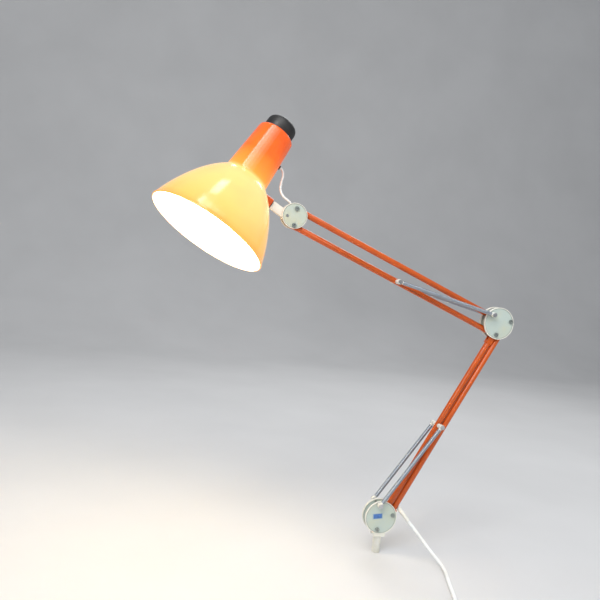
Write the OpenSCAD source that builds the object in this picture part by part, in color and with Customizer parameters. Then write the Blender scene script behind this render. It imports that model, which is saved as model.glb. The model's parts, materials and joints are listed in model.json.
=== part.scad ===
// Spring-balanced desk lamp: a post, two parallelogram arms between pairs of joint discs, and a plastic shade.
// Frame: the origin is the centre of the post's lower end, +Z runs up the post, the arms move in the XZ plane.

/* [Joint discs] */
// Radius of the base and elbow discs
disc_r = 25; // [24:0.5:28]
// Radius of the head discs
head_disc_r = 18.5; // [18.5:0.5:21]
// Thickness of each disc
plate_t = 3; // [2.5:0.5:4]
// Space between a pair of discs
disc_gap = 10; // [10:0.5:12]
// Height of the base discs' centre above the post's end
base_z = 56; // [54:1:64]

/* [Post] */
// Diameter of the post
post_d = 12; // [10:0.5:13]
// Length of the post below the discs' foot
post_len = 26.5; // [22:0.5:26.5]

/* [Arms] */
// Lower arm, pivot to pivot
lower_len = 352; // [300:1:420]
// Upper arm, pivot to pivot
upper_len = 364; // [300:2:420]
// Angle of the lower arm above +X
lower_angle = 62.3; // [62:0.1:66]
// Angle of the upper arm above +X
upper_angle = 158.55; // [155:0.05:165]
// Outer diameter of the arm tubes
tube_d = 9; // [8:0.5:9]
// Wall of the arm tubes
tube_wall = 0.9; // [0.7:0.1:1.2]
// Sideways crank of the lower tubes from their pivots
lower_crank = 0.5; // [0:0.1:0.5]

/* [Springs] */
// Outer diameter of the spring coils
spring_d = 6; // [5:0.5:6.5]
// Sideways distance of each spring from the arm's middle plane
spring_y = 15; // [15:0.5:18]
// Distance of a spring's cross pin from the arm's lower pivot
spring_reach = 184; // [170:2:200]

/* [Head] */
// Angle of the head bracket above +X
bracket_angle = 149.8; // [140:0.1:160]
// Turn of the shade about the bracket
shade_turn = 10.7; // [-20:0.1:20]
// Length of the bracket from the tilt bolt to its end face
stem_len = 27; // [26:0.5:27]

/* [Shade] */
// Radius of the rim
rim_r = 89; // [87:0.5:91]
// Height at which the dome's curve would close
dome_top = 112; // [111:0.5:113]
// Height of the dome below the neck
dome_h = 99.5; // [99:0.5:100]
// Radius of the neck at its top
neck_top_r = 28.4; // [28:0.1:30]
// Height of the neck's flat top above the rim
neck_top = 183; // [183:1:186]
// Wall of the shade
shade_wall = 2; // [1.6:0.1:2.2]

/* [Mains cord] */
// Width of the mains cord
cord_d = 5.4; // [5:0.1:5.4]

/* [Hidden] */
$fn = 64;

// Colours
orange = "#d8531a";
pale_plastic = "#c9cfc6";
white_plastic = "#ecebe4";
steel = "#b9bec4";
dark_steel = "#4a4d50";
black_plastic = "#1c1c1e";

// Fits and fasteners
pivot_d = 4;
running = 0.05;
clearance = 0.1;
bush_d = 6;
lug_r = 5;
lug_t = 9;
washer_t = 1;
in_y = disc_gap / 2;
out_y = in_y + plate_t;
tube_r = tube_d / 2;

// Pivots: places in the XZ plane, measured from a disc's centre
base_link_at = [18.5, 3.8];
base_arm_at = [-4.5, -18.2];
base_stud_at = [-5.9, 20.8];
elbow_arm_at = [-3.15, -17.75];
elbow_link_at = elbow_arm_at + base_link_at - base_arm_at;
elbow_stud_at = [-14.2, 13.1];
head_arm_at = [-0.2, -13.8];
head_link_at = [2, 10.5];
head_tilt_at = [-11, -1];

// Places in the XZ plane, measured from the origin
base_c = [0, base_z];
lower_dir = [cos(lower_angle), sin(lower_angle)];
upper_dir = [cos(upper_angle), sin(upper_angle)];
base_arm = base_c + base_arm_at;
base_link = base_c + base_link_at;
base_stud = base_c + base_stud_at;
elbow_arm = base_arm + lower_len * lower_dir;
elbow_c = elbow_arm - elbow_arm_at;
elbow_link = elbow_c + elbow_link_at;
elbow_stud = elbow_c + elbow_stud_at;
elbow_pin = elbow_arm + head_link_at - head_arm_at;
head_arm = elbow_arm + upper_len * upper_dir;
head_c = head_arm - head_arm_at;
head_link = head_c + head_link_at;
tilt = head_c + head_tilt_at;

// Cross pins of the springs, on the tubes' axes
lower_pin = base_arm + spring_reach * lower_dir + lower_crank * [-lower_dir[1], lower_dir[0]];
upper_pin = elbow_arm + spring_reach * upper_dir;

// Shade: swivel axis above the rim, and the swivel's distance from the tilt bolt
swivel_z = 91.8;
swivel_x = 78.7;
tab_face = swivel_x - stem_len - 0.9;
boss_in = 34;
neck_hole_r = 12.2;
dome_round = 1.2;
dome_blunt = 0.49;
neck_base_r = dome_r(dome_h);
wire_hole_z = 144.5;
wire_d = 3.3;

// Mains cord: relief on the link tube, then a hand-laid route to the surface and a coil
relief_at = 13;
relief_r = 3.6;
relief_off = lower_crank - tube_r - relief_r - clearance;
cord_r = cord_d / 2;
cord_route = [
    [44, -12, 52], [50, -18, 45], [56, -25, 37.5], [62, -31.5, 30], [67.5, -38.5, 22.8], [73.5, -45.5, 15.8],
    [78.5, -52.5, 10], [81.5, -60.5, 5.6], [81.5, -70.5, 3.4], [79, -81, 2.8], [75.5, -92.5, 2.7],
    [71.5, -105.5, 2.7], [67.5, -119, 2.7], [63.5, -133, 2.7], [59.5, -147, 2.7], [55, -161, 2.7],
    [51, -175, 2.7], [48, -189, 2.7], [46, -204, 2.7], [46, -218, 2.7]
];
tail_route = [
    [46, -218, 8.1], [45, -231, 8], [40, -244, 7.8], [31, -255, 7.4], [19, -261, 7], [6, -263, 6.7],
    [-8, -263, 6.5], [-22, -263, 6.5]
];
coil_c = [6, -218];
coil_mean_r = 32;
coil_turns_across = 4;
coil_layers = 2;
plug_l = 36;
plug_w = 34;
plug_t = 13;

// Head wire: points from the hole in the neck to the space between the head discs
wire_shade_route = [
    [-205.4, 9.8, 564.5], [-202, 9.6, 562.2], [-199.7, 9, 557.8], [-199.3, 8, 552], [-200.5, 7, 546],
    [-201.8, 5.5, 539.5], [-202, 4.2, 534]
];
wire_arm_route = [
    [-202, 4, 533], [-200, 3, 527], [-196, 2, 521.8], [-191.3, 1, 518.5], [-187.2, 0.5, 515.5],
    [-184.8, 0, 511.5], [-185.3, 0, 507.5]
];

// ---------- frames and helpers ----------

// Puts a child's XZ plane at a place in the arm plane, its X axis turned up by an angle
module in_plane(at, angle = 0) {
    translate([at[0], 0, at[1]]) rotate([0, -angle, 0]) children();
}

// Stands a cylinder's axis along Y, from y = y0 to y = y1
module along_y(r, y0, y1) {
    translate([0, y1, 0]) rotate([90, 0, 0]) cylinder(r = r, h = y1 - y0);
}

// The front piece, or its mirror image at the back
module side_of(back) {
    mirror([0, back ? 1 : 0, 0]) children();
}

// A pair of pieces, front and back
module both_sides() {
    children();
    mirror([0, 1, 0]) children();
}

module at_base() in_plane(base_c) children();
module at_elbow() in_plane(elbow_c) children();
module at_head() in_plane(head_c) children();
module on_lower_arm() in_plane(base_arm, lower_angle) children();
module on_lower_link() in_plane(base_link, lower_angle) children();
module on_upper_arm() in_plane(elbow_arm, upper_angle) children();
module on_upper_link() in_plane(elbow_pin, upper_angle) children();
module on_bracket() in_plane(tilt, bracket_angle) children();

// Shade frame: origin at the rim's centre, +Z towards the cap, -X towards the head
module on_shade() {
    on_bracket() translate([swivel_x, 0, 0]) rotate([180 + shade_turn, 0, 0])
        translate([0, 0, -swivel_z]) children();
}

// Lays a child's +Z along the vector from p to q
module point_to(p, q) {
    d = q - p;
    translate(p) rotate([0, acos(d[2] / norm(d)), atan2(d[1], d[0])]) children();
}

// Sweep of a round section along a list of points
function unit(v) = v / norm(v);
function step_at(path, i) = unit(path[min(i + 1, len(path) - 1)] - path[max(i - 1, 0)]);
function side_at(t) = unit(cross(t, abs(t[2]) > 0.95 ? [1, 0, 0] : [0, 0, 1]));
function ring_at(path, i, r, sides) =
    let (t = step_at(path, i), a = side_at(t), b = cross(t, a))
    [for (k = [0:sides - 1]) path[i] + r * (cos(360 * k / sides) * a + sin(360 * k / sides) * b)];

module sweep(path, r, sides) {
    rings = len(path);
    points = [for (i = [0:rings - 1]) each ring_at(path, i, r, sides)];
    walls = [for (i = [0:rings - 2], k = [0:sides - 1])
        let (n = (k + 1) % sides, low = i * sides, high = low + sides)
        each [[low + k, high + k, high + n], [low + k, high + n, low + n]]];
    first = [for (k = [0:sides - 1]) k];
    last = [for (k = [sides - 1:-1:0]) (rings - 1) * sides + k];
    polyhedron(points, concat(walls, [first], [last]));
}

// ---------- joint discs ----------

// One disc of a pair, on the front side. The first child is added to it, the second is cut from it.
module disc_plate(r, holes) {
    lip_t = 0.6;
    lip_w = 1.2;
    difference() {
        union() {
            along_y(r, -out_y, -in_y);
            difference() {
                along_y(r, -out_y - lip_t, -out_y);
                along_y(r - lip_w, -out_y - 1, -out_y + 1);
            }
            children(0);
        }
        for (at = holes) in_plane(at) along_y(pivot_d / 2 + clearance, -out_y - 2, -in_y + 1);
        children(1);
    }
}

foot_w = 18;
foot_bottom = post_len - base_z;
head_block = [14, 12, 5.5];

module base_disc(back) {
    color(pale_plastic) side_of(back) at_base()
        disc_plate(disc_r, [base_link_at, base_arm_at, base_stud_at]) {
            translate([-foot_w / 2, -out_y, foot_bottom]) cube([foot_w, plate_t, 12]);
            translate([-head_block[0] / 2 - 0.1, -head_block[1] / 2 - 0.1, foot_bottom - 1])
                cube([head_block[0] + 0.2, head_block[1], head_block[2] + 1.1]);
        }
}
module base_disc_front() base_disc(false);
module base_disc_back() base_disc(true);

module elbow_disc(back) {
    pin_hole = elbow_pin - elbow_c;
    color(pale_plastic) side_of(back) at_elbow()
        disc_plate(disc_r, [elbow_link_at, elbow_arm_at, elbow_stud_at]) {
            union() {}
            in_plane(pin_hole) along_y(pivot_d / 2 + clearance, -in_y - 2, -in_y + 1);
        }
}
module elbow_disc_front() elbow_disc(false);
module elbow_disc_back() elbow_disc(true);

module head_disc(back) {
    color(pale_plastic) side_of(back) at_head()
        disc_plate(head_disc_r, [head_link_at, head_arm_at, head_tilt_at]) {
            union() {}
            union() {}
        }
}
module head_disc_front() head_disc(false);
module head_disc_back() head_disc(true);

// ---------- fasteners ----------

// Socket-headed screw through both discs, head at the front
module pivot_screw() {
    head_r = 3.3;
    head_t = 2;
    socket_r = 1.6;
    difference() {
        union() {
            along_y(pivot_d / 2, -out_y, out_y + 3.4);
            along_y(head_r, -out_y - head_t, -out_y);
        }
        translate([0, -out_y - head_t - 0.1, 0]) rotate([-90, 0, 0]) cylinder(r = socket_r, h = 1.4, $fn = 6);
    }
}

module pivot_nut() {
    across_corners = 7;
    translate([0, out_y + 3, 0]) rotate([90, 0, 0]) difference() {
        cylinder(d = across_corners, h = 3, $fn = 6);
        translate([0, 0, -1]) cylinder(d = pivot_d, h = 5);
    }
}

module pivot_bush() {
    difference() {
        along_y(bush_d / 2, -in_y, in_y);
        along_y(pivot_d / 2 + running, -in_y - 1, in_y + 1);
    }
}

// Stepped stud in a disc that holds a spring's eye, front side
module spring_stud() {
    along_y(pivot_d / 2, -spring_y - 4.4, -in_y - 0.2);
    along_y(3.4, -spring_y + 3.2, -out_y - 0.6);
    along_y(3.4, -spring_y - 4.4, -spring_y - 3.2);
}

module screws_at(places) color(dark_steel) for (p = places) in_plane(p) pivot_screw();
module nuts_at(places) color(steel) for (p = places) in_plane(p) pivot_nut();
module bushes_at(places) color(steel) for (p = places) in_plane(p) pivot_bush();
module studs_at(p) color(steel) in_plane(p) both_sides() spring_stud();

base_pivots = [base_link, base_arm];
elbow_pivots = [elbow_link, elbow_arm];
head_pivots = [head_link, head_arm];

module base_screws() screws_at(base_pivots);
module base_nuts() nuts_at(base_pivots);
module base_bushes() bushes_at(base_pivots);
module base_spring_studs() studs_at(base_stud);
module elbow_screws() screws_at(elbow_pivots);
module elbow_nuts() nuts_at(elbow_pivots);
module elbow_bushes() bushes_at(elbow_pivots);
module elbow_spring_studs() studs_at(elbow_stud);
module elbow_link_pin() color(steel) in_plane(elbow_pin) along_y(pivot_d / 2, -in_y - 1.9, in_y + 1.9);
module head_screws() screws_at(head_pivots);
module head_nuts() nuts_at(head_pivots);
module head_bushes() bushes_at(head_pivots);

// ---------- base ----------

module base_post() {
    color(pale_plastic) {
        cylinder(d = post_d, h = post_len);
        translate([-head_block[0] / 2, -head_block[1] / 2, post_len]) cube(head_block);
    }
}

module base_label() {
    label_w = 16;
    label_h = 8.4;
    label_t = 0.3;
    color("#5b84b8") at_base() translate([-5.5, -out_y - label_t, 2.2]) rotate([0, -5.6, 0])
        translate([-label_w / 2, 0, -label_h / 2]) cube([label_w, label_t, label_h]);
}

// ---------- arms ----------

// Arm frame: the lower pivot is the origin, +X runs along the arm
tube_from = 9;
tube_margin = 0.1;

module tube_pipe(length, crank, from, to_end) {
    translate([from, 0, crank]) rotate([0, 90, 0]) difference() {
        cylinder(r = tube_r, h = length - from - to_end);
        translate([0, 0, -1]) cylinder(r = tube_r - tube_wall, h = length - from - to_end + 2);
    }
}

// Eye at the origin with a shank along +X and a spigot that plugs the tube
module arm_end(crank, bore_d, reach) {
    spigot_r = tube_r - tube_wall - tube_margin;
    difference() {
        union() {
            along_y(lug_r, -lug_t / 2, lug_t / 2);
            translate([0, -lug_t / 2, crank - tube_r]) cube([reach, lug_t, tube_d]);
            translate([reach, 0, crank]) rotate([0, 90, 0]) cylinder(r = spigot_r, h = 10);
        }
        along_y(bore_d / 2 + running, -lug_t, lug_t);
    }
}

fork_slot = 4.4;
tongue_t = 3.8;
fork_depth = 13;
fork_reach = 18;

module fork_end(crank) {
    difference() {
        arm_end(crank, bush_d, fork_reach);
        translate([-lug_r - 1, -fork_slot / 2, -lug_r * 2])
            cube([lug_r + 1 + fork_depth, fork_slot, lug_r * 4]);
    }
}

module tongue_end() {
    cheek_w = (lug_t - tongue_t) / 2;
    difference() {
        arm_end(0, bush_d, fork_reach);
        for (s = [0, 1]) mirror([0, s, 0])
            translate([-lug_r - 1, tongue_t / 2, -lug_r * 2]) cube([lug_r + fork_reach - 1, cheek_w + 1, lug_r * 4]);
    }
}

// Turns an end round to the arm's far pivot
module far_end(length) {
    translate([length, 0, 0]) rotate([0, 180, 0]) children();
}

cross_hole_r = pivot_d / 2 + clearance;

module lower_arm_tube() {
    color(orange) on_lower_arm() difference() {
        tube_pipe(lower_len, lower_crank, tube_from, fork_reach);
        translate([spring_reach, 0, lower_crank]) along_y(cross_hole_r, -tube_d, tube_d);
    }
}

module lower_arm_ends() {
    color(orange) on_lower_arm() {
        arm_end(lower_crank, bush_d, tube_from);
        far_end(lower_len) fork_end(-lower_crank);
    }
}

module lower_link_tube() {
    color(orange) on_lower_link() difference() {
        tube_pipe(lower_len, lower_crank, tube_from, tube_from);
        translate([relief_at, 0, relief_off]) cylinder(r = 2.6, h = tube_d);
    }
}

module lower_link_ends() {
    color(orange) on_lower_link() {
        difference() {
            arm_end(lower_crank, bush_d, tube_from);
            translate([tube_from, -tube_r, lower_crank - tube_r]) cube([12, tube_d, tube_d]);
        }
        far_end(lower_len) arm_end(-lower_crank, bush_d, tube_from);
    }
}

module upper_arm_tube() {
    color(orange) on_upper_arm() difference() {
        tube_pipe(upper_len, 0, fork_reach, tube_from);
        translate([spring_reach, 0, 0]) along_y(cross_hole_r, -tube_d, tube_d);
    }
}

module upper_arm_ends() {
    color(orange) on_upper_arm() {
        tongue_end();
        far_end(upper_len) arm_end(0, bush_d, tube_from);
    }
}

module upper_link_tube() {
    color(orange) on_upper_link() tube_pipe(upper_len, 0, tube_from, tube_from);
}

module upper_link_ends() {
    color(orange) on_upper_link() {
        arm_end(0, pivot_d, tube_from);
        far_end(upper_len) arm_end(0, bush_d, tube_from);
    }
}

// ---------- springs ----------

// Pin through a tube that the two springs pull on, with a head at each end
module cross_pin() {
    along_y(pivot_d / 2, -spring_y - 4.4, spring_y + 4.4);
    both_sides() along_y(3.4, -spring_y - 4.4, -spring_y - 3.2);
}

module cross_sleeves() {
    both_sides() difference() {
        along_y(3.4, -spring_y + 3.2, -tube_r - clearance);
        along_y(cross_hole_r, -spring_y, 0);
    }
}

module lower_spring_pin() color(steel) on_lower_arm() translate([spring_reach, 0, lower_crank]) cross_pin();
module lower_spring_sleeves() {
    color(white_plastic) on_lower_arm() translate([spring_reach, 0, lower_crank]) cross_sleeves();
}
module upper_spring_pin() color(steel) on_upper_arm() translate([spring_reach, 0, 0]) cross_pin();
module upper_spring_sleeves() {
    color(white_plastic) on_upper_arm() translate([spring_reach, 0, 0]) cross_sleeves();
}

eye_r = 3.8;
eye_t = 6;
eye_neck = 9;

// A spring's end fitting: an eye at the origin and a plug along +X
module spring_eye() {
    both_sides() difference() {
        union() {
            along_y(eye_r, -spring_y - eye_t / 2, -spring_y + eye_t / 2);
            translate([0, -spring_y, 0]) rotate([0, 90, 0]) cylinder(d = spring_d - 1, h = eye_neck);
        }
        along_y(pivot_d / 2 + running, -spring_y - eye_t, 0);
    }
}

module spring_coils(length) {
    coil_from = eye_neck + clearance;
    both_sides() translate([coil_from, -spring_y, 0]) rotate([0, 90, 0]) difference() {
        cylinder(d = spring_d, h = length - 2 * coil_from);
        translate([0, 0, -1]) cylinder(d = spring_d - 2, h = length);
    }
}

function slope_of(a, b) = atan2(b[1] - a[1], b[0] - a[0]);
lower_slope = slope_of(base_stud, lower_pin);
upper_slope = slope_of(elbow_stud, upper_pin);

module lower_spring_coils() {
    color(steel) in_plane(base_stud, lower_slope) spring_coils(norm(lower_pin - base_stud));
}
module lower_spring_low_eyes() color(white_plastic) in_plane(base_stud, lower_slope) spring_eye();
module lower_spring_top_eyes() color(white_plastic) in_plane(lower_pin, lower_slope + 180) spring_eye();
module upper_spring_coils() {
    color(steel) in_plane(elbow_stud, upper_slope) spring_coils(norm(upper_pin - elbow_stud));
}
module upper_spring_low_eyes() color(white_plastic) in_plane(elbow_stud, upper_slope) spring_eye();
module upper_spring_top_eyes() color(white_plastic) in_plane(upper_pin, upper_slope + 180) spring_eye();

// ---------- head bracket ----------

stem_w = 12;
stem_t = 8;
swivel_d = 5;

module tilt_bolt() {
    color(steel) in_plane(tilt) {
        along_y(pivot_d / 2, -out_y - 0.5, out_y);
        along_y(5, out_y, out_y + 4);
    }
}

module tilt_washers() {
    color(black_plastic) in_plane(tilt) both_sides() difference() {
        along_y(5.8, -in_y, -in_y + washer_t);
        along_y(pivot_d / 2 + running, -in_y - 1, -in_y + 2);
    }
}

module head_bracket() {
    eye_half = in_y - washer_t - 0.05;
    color(white_plastic) on_bracket() difference() {
        union() {
            along_y(stem_w / 2, -eye_half, eye_half);
            translate([0, -stem_t / 2 + 0.1, -stem_w / 2]) cube([stem_len, stem_t - 0.2, stem_w]);
        }
        along_y(pivot_d / 2 + running, -in_y, in_y);
        translate([12, 0, 0]) rotate([0, 90, 0]) cylinder(d = swivel_d, h = stem_len);
    }
}

module swivel_bolt() {
    shank_end = swivel_x - boss_in + 0.5;
    color(steel) on_bracket() rotate([0, 90, 0]) {
        translate([0, 0, 12]) cylinder(d = swivel_d, h = shank_end - 12);
        translate([0, 0, shank_end]) cylinder(d = 9, h = 3, $fn = 6);
    }
}

module swivel_washer() {
    color(black_plastic) on_bracket() translate([stem_len, 0, 0]) rotate([0, 90, 0]) difference() {
        cylinder(r = 5.8, h = 0.85);
        translate([0, 0, -1]) cylinder(d = swivel_d, h = 3);
    }
}

// ---------- shade and lamp ----------

// Radius of the dome's outer face at a height above the rim
function dome_r(z) = rim_r * pow(1 - pow(z / dome_top, dome_round), dome_blunt);
function dome_line(inset) = [for (i = [0:24]) let (z = dome_h * i / 24) [dome_r(z) - inset, z]];
corner_r = 5;
function corner_arc(r, z, size) = [for (a = [0:15:90]) [r - size + size * cos(a), z - size + size * sin(a)]];

module shade_outer() {
    rotate_extrude() polygon(concat([[0, 0]], dome_line(0), corner_arc(neck_top_r, neck_top, corner_r), [[0, neck_top]]));
}

module shade_inner() {
    inner_top = neck_top - shade_wall;
    rotate_extrude() polygon(concat(
        [[0, -1], [rim_r - shade_wall, -1]],
        dome_line(shade_wall),
        corner_arc(neck_top_r - shade_wall, inner_top, corner_r - shade_wall),
        [[0, inner_top]]
    ));
}

module rim_bead() {
    rotate_extrude() translate([rim_r - 0.6, 1.2]) circle(r = 1.2, $fn = 24);
}

module shade() {
    tab_r = 8;
    color(orange) on_shade() difference() {
        union() {
            difference() {
                shade_outer();
                shade_inner();
            }
            rim_bead();
            translate([-tab_face, 0, swivel_z]) rotate([0, 90, 0]) cylinder(r = tab_r, h = tab_face - boss_in);
        }
        translate([-tab_face - 1, 0, swivel_z]) rotate([0, 90, 0])
            cylinder(r = swivel_d / 2 + running, h = tab_face - boss_in + 2);
        translate([0, 0, neck_top - 10]) cylinder(r = neck_hole_r, h = 20);
        translate([-neck_base_r - 5, 0, wire_hole_z]) rotate([0, 90, 0]) cylinder(r = wire_d / 2 + 0.5, h = 15);
    }
}

holder_r = 19.5;
holder_low = 92;
holder_floor = 122;
holder_top = 152;
bulb_cap_r = 13.3;

module lampholder() {
    color(black_plastic) on_shade() difference() {
        union() {
            translate([0, 0, holder_low]) cylinder(r = holder_r, h = holder_top - holder_low);
            translate([0, 0, holder_top]) cylinder(r = neck_hole_r - clearance, h = neck_top - holder_top);
        }
        translate([0, 0, holder_low - 1]) cylinder(r = bulb_cap_r + 0.4, h = holder_floor - holder_low + 1);
        translate([0, 0, holder_floor - 1]) cylinder(r = 3, h = 80);
    }
}

globe_r = 30;
globe_z = 45;
glass_top = 96;
glass_neck_r = 12.5;

// Pear-shaped bulb: a globe that runs into a narrow neck
function bulb_line(inset) = concat(
    [for (a = [-90:10:40]) [(globe_r - inset) * cos(a), globe_z + (globe_r - inset) * sin(a)]],
    [[17.5 - inset, 79], [14 - inset, 88], [glass_neck_r - inset, glass_top - 0.1]]
);

module bulb_glass() {
    outside = bulb_line(0);
    inside = bulb_line(1);
    back = [for (i = [len(inside) - 1:-1:0]) inside[i]];
    color([1, 0.95, 0.8, 0.6]) on_shade() rotate_extrude() polygon(concat(outside, back));
}

module bulb_cap() {
    cap_h = 22;
    color(steel) on_shade() translate([0, 0, glass_top]) difference() {
        union() {
            cylinder(r = bulb_cap_r, h = cap_h);
            translate([0, 0, cap_h]) cylinder(r1 = bulb_cap_r, r2 = 5, h = 3.5);
        }
        translate([0, 0, -1]) cylinder(r = bulb_cap_r - 1, h = cap_h);
    }
}

end_cap_r = 23;
end_cap_h = 22;
switch_h = 12;
button_r = 7;

module end_cap() {
    wall = 2;
    round_r = 9;
    function shell(r, top, size) = concat([[0, 0]], [[r, 0]], corner_arc(r, top, size), [[0, top]]);
    color(black_plastic) on_shade() translate([0, 0, neck_top]) difference() {
        rotate_extrude() polygon(shell(end_cap_r, end_cap_h, round_r));
        translate([0, 0, -0.01]) rotate_extrude() polygon(shell(end_cap_r - wall, end_cap_h - wall, round_r - wall));
        cylinder(r = button_r + clearance, h = 40);
    }
}

module switch_body() {
    color(white_plastic) on_shade() translate([-9, -9, neck_top]) cube([18, 18, switch_h]);
}

module switch_button() {
    color(black_plastic) on_shade() translate([0, 0, neck_top + switch_h + 4]) difference() {
        cylinder(r = button_r, h = 10);
        translate([0, 0, 24]) sphere(r = 15);
    }
}

// ---------- wires and mains cord ----------

module lower_wire() color(white_plastic) on_lower_link() translate([relief_at + 4, 0, lower_crank])
    rotate([0, 90, 0]) cylinder(r = 2, h = lower_len - relief_at - 26);
module upper_wire() color(white_plastic) on_upper_link() translate([22, 0, 0])
    rotate([0, 90, 0]) cylinder(r = 2, h = upper_len - 44);
module head_wire_shade() color(white_plastic) sweep(wire_shade_route, wire_d / 2, 8);
module head_wire_arm() color(white_plastic) sweep(wire_arm_route, wire_d / 2, 8);

module cord_relief() {
    ball_at = base_link + relief_at * lower_dir + relief_off * [-lower_dir[1], lower_dir[0]];
    ball = [ball_at[0], 0, ball_at[1]];
    color(white_plastic) {
        translate(ball) sphere(r = relief_r);
        on_lower_link() translate([relief_at, 0, relief_off]) cylinder(r = 2.4, h = relief_r + 2);
        point_to(ball, cord_route[0]) cylinder(r1 = relief_r, r2 = 3.1, h = norm(cord_route[0] - ball) - 0.3);
    }
}

module mains_cord_run() color(white_plastic) sweep(cord_route, cord_r, 10);
module mains_cord_tail() color(white_plastic) sweep(tail_route, cord_r, 10);

module mains_cord_coil() {
    width = coil_turns_across * cord_d;
    color(white_plastic) translate([coil_c[0], coil_c[1], 0]) rotate_extrude()
        translate([coil_mean_r - width / 2, 0]) square([width, coil_layers * cord_d]);
}

plug_x = tail_route[len(tail_route) - 1][0];
plug_y = tail_route[len(tail_route) - 1][1];

module mains_plug_body() {
    neck_w = 10;
    color(white_plastic) translate([plug_x, plug_y, 0]) linear_extrude(plug_t)
        polygon([[0, -neck_w / 2], [-12, -neck_w / 2], [-22, -plug_w / 2], [-plug_l, -plug_w / 2],
            [-plug_l, plug_w / 2], [-22, plug_w / 2], [-12, neck_w / 2], [0, neck_w / 2]]);
}

module mains_plug_pins() {
    pin_spacing = 18.6;
    color(steel) for (s = [-1, 1])
        translate([plug_x - plug_l - 19, plug_y + s * pin_spacing / 2, plug_t / 2]) rotate([0, 90, 0])
            cylinder(d = 4, h = 19);
}

base_post();
base_disc_front();
base_disc_back();
base_bushes();
base_screws();
base_nuts();
base_spring_studs();
base_label();
lower_arm_tube();
lower_arm_ends();
lower_spring_pin();
lower_spring_sleeves();
lower_link_tube();
lower_link_ends();
cord_relief();
lower_wire();
elbow_disc_front();
elbow_disc_back();
elbow_bushes();
elbow_screws();
elbow_nuts();
elbow_link_pin();
elbow_spring_studs();
upper_arm_tube();
upper_arm_ends();
upper_spring_pin();
upper_spring_sleeves();
upper_link_tube();
upper_link_ends();
upper_wire();
head_disc_front();
head_disc_back();
head_bushes();
head_screws();
head_nuts();
tilt_bolt();
tilt_washers();
head_bracket();
swivel_bolt();
swivel_washer();
shade();
lampholder();
bulb_glass();
bulb_cap();
end_cap();
switch_body();
switch_button();
lower_spring_coils();
lower_spring_low_eyes();
lower_spring_top_eyes();
upper_spring_coils();
upper_spring_low_eyes();
upper_spring_top_eyes();
head_wire_shade();
head_wire_arm();
mains_cord_run();
mains_cord_coil();
mains_cord_tail();
mains_plug_body();
mains_plug_pins();
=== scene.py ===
"""Looks of the spring-balanced desk lamp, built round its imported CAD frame. Lengths are in metres."""

import json
import math

import bmesh
import bpy
from mathutils import Matrix, Quaternion, Vector


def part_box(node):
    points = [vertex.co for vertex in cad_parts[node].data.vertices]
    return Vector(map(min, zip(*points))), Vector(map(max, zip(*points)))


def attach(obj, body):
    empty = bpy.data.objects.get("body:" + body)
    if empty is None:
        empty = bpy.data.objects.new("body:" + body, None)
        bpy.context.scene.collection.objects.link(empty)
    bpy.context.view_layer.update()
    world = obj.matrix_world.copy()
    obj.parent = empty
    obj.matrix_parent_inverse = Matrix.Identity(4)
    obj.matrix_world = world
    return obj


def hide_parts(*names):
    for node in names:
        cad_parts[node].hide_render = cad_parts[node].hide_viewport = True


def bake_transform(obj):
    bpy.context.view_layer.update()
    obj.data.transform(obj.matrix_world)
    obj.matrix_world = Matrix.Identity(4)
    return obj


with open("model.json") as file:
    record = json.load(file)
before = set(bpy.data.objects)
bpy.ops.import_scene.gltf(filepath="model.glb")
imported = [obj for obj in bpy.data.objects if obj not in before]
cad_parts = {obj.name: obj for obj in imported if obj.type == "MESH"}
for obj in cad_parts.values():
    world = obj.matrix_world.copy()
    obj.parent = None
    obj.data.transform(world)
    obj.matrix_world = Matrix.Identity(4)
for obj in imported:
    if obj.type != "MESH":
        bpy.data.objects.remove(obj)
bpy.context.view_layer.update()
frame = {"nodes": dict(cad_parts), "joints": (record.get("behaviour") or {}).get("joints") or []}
nodes = frame["nodes"]
joints = {j["name"]: j for j in frame["joints"]}
MM = 0.001

# ---------- places taken from the frame ----------


def middle(node):
    low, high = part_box(node)
    return (low + high) / 2


def pivot(joint):
    return Vector(joints[joint]["pos_m"])


TILT = pivot("head_tilt")
STEM = Vector(joints["shade_swivel"]["axis"]).normalized()
SHADE_UP = -Vector(joints["switch_press"]["axis"]).normalized()
SHADE_SIDE = SHADE_UP.cross(STEM)
SWIVEL_Z = 91.8 * MM
SWIVEL_X = 78.7 * MM
SHADE_AT = TILT + SWIVEL_X * STEM - SWIVEL_Z * SHADE_UP
SHADE_TURN = Matrix((STEM, SHADE_SIDE, SHADE_UP)).transposed().to_4x4()
SHADE_FRAME = Matrix.Translation(SHADE_AT) @ SHADE_TURN

RIM_R = 89 * MM
DOME_TOP = 112 * MM
DOME_H = 99.5 * MM
DOME_ROUND = 1.2
DOME_BLUNT = 0.49
NECK_TOP = 183 * MM
NECK_TOP_R = 28.4 * MM
WALL = 2 * MM
CORNER_R = 5 * MM
TOP_HOLE_R = 12.2 * MM
RIM_BEAD_R = 1.2 * MM
NECK_ROOT_R = 1.6 * MM

BOSS_R = 8 * MM
BOSS_BORE_R = 2.55 * MM
BOSS_IN = 34 * MM
BOSS_OUT = 50.8 * MM
GROMMET_AT = Vector((-30.6, 0, 144.5)) * MM
BULB_CENTRE = Vector((0, 0, 45)) * MM
BULB_LENGTH = 100 * MM

# ---------- camera ----------

CAMERA_AT = Vector((-0.375, -0.926, 0.413))
CAMERA_AZIMUTH = -13.19
CAMERA_ELEVATION = 2.23
CAMERA_ROLL = 5.63
CAMERA_LENS = 39.0


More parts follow.
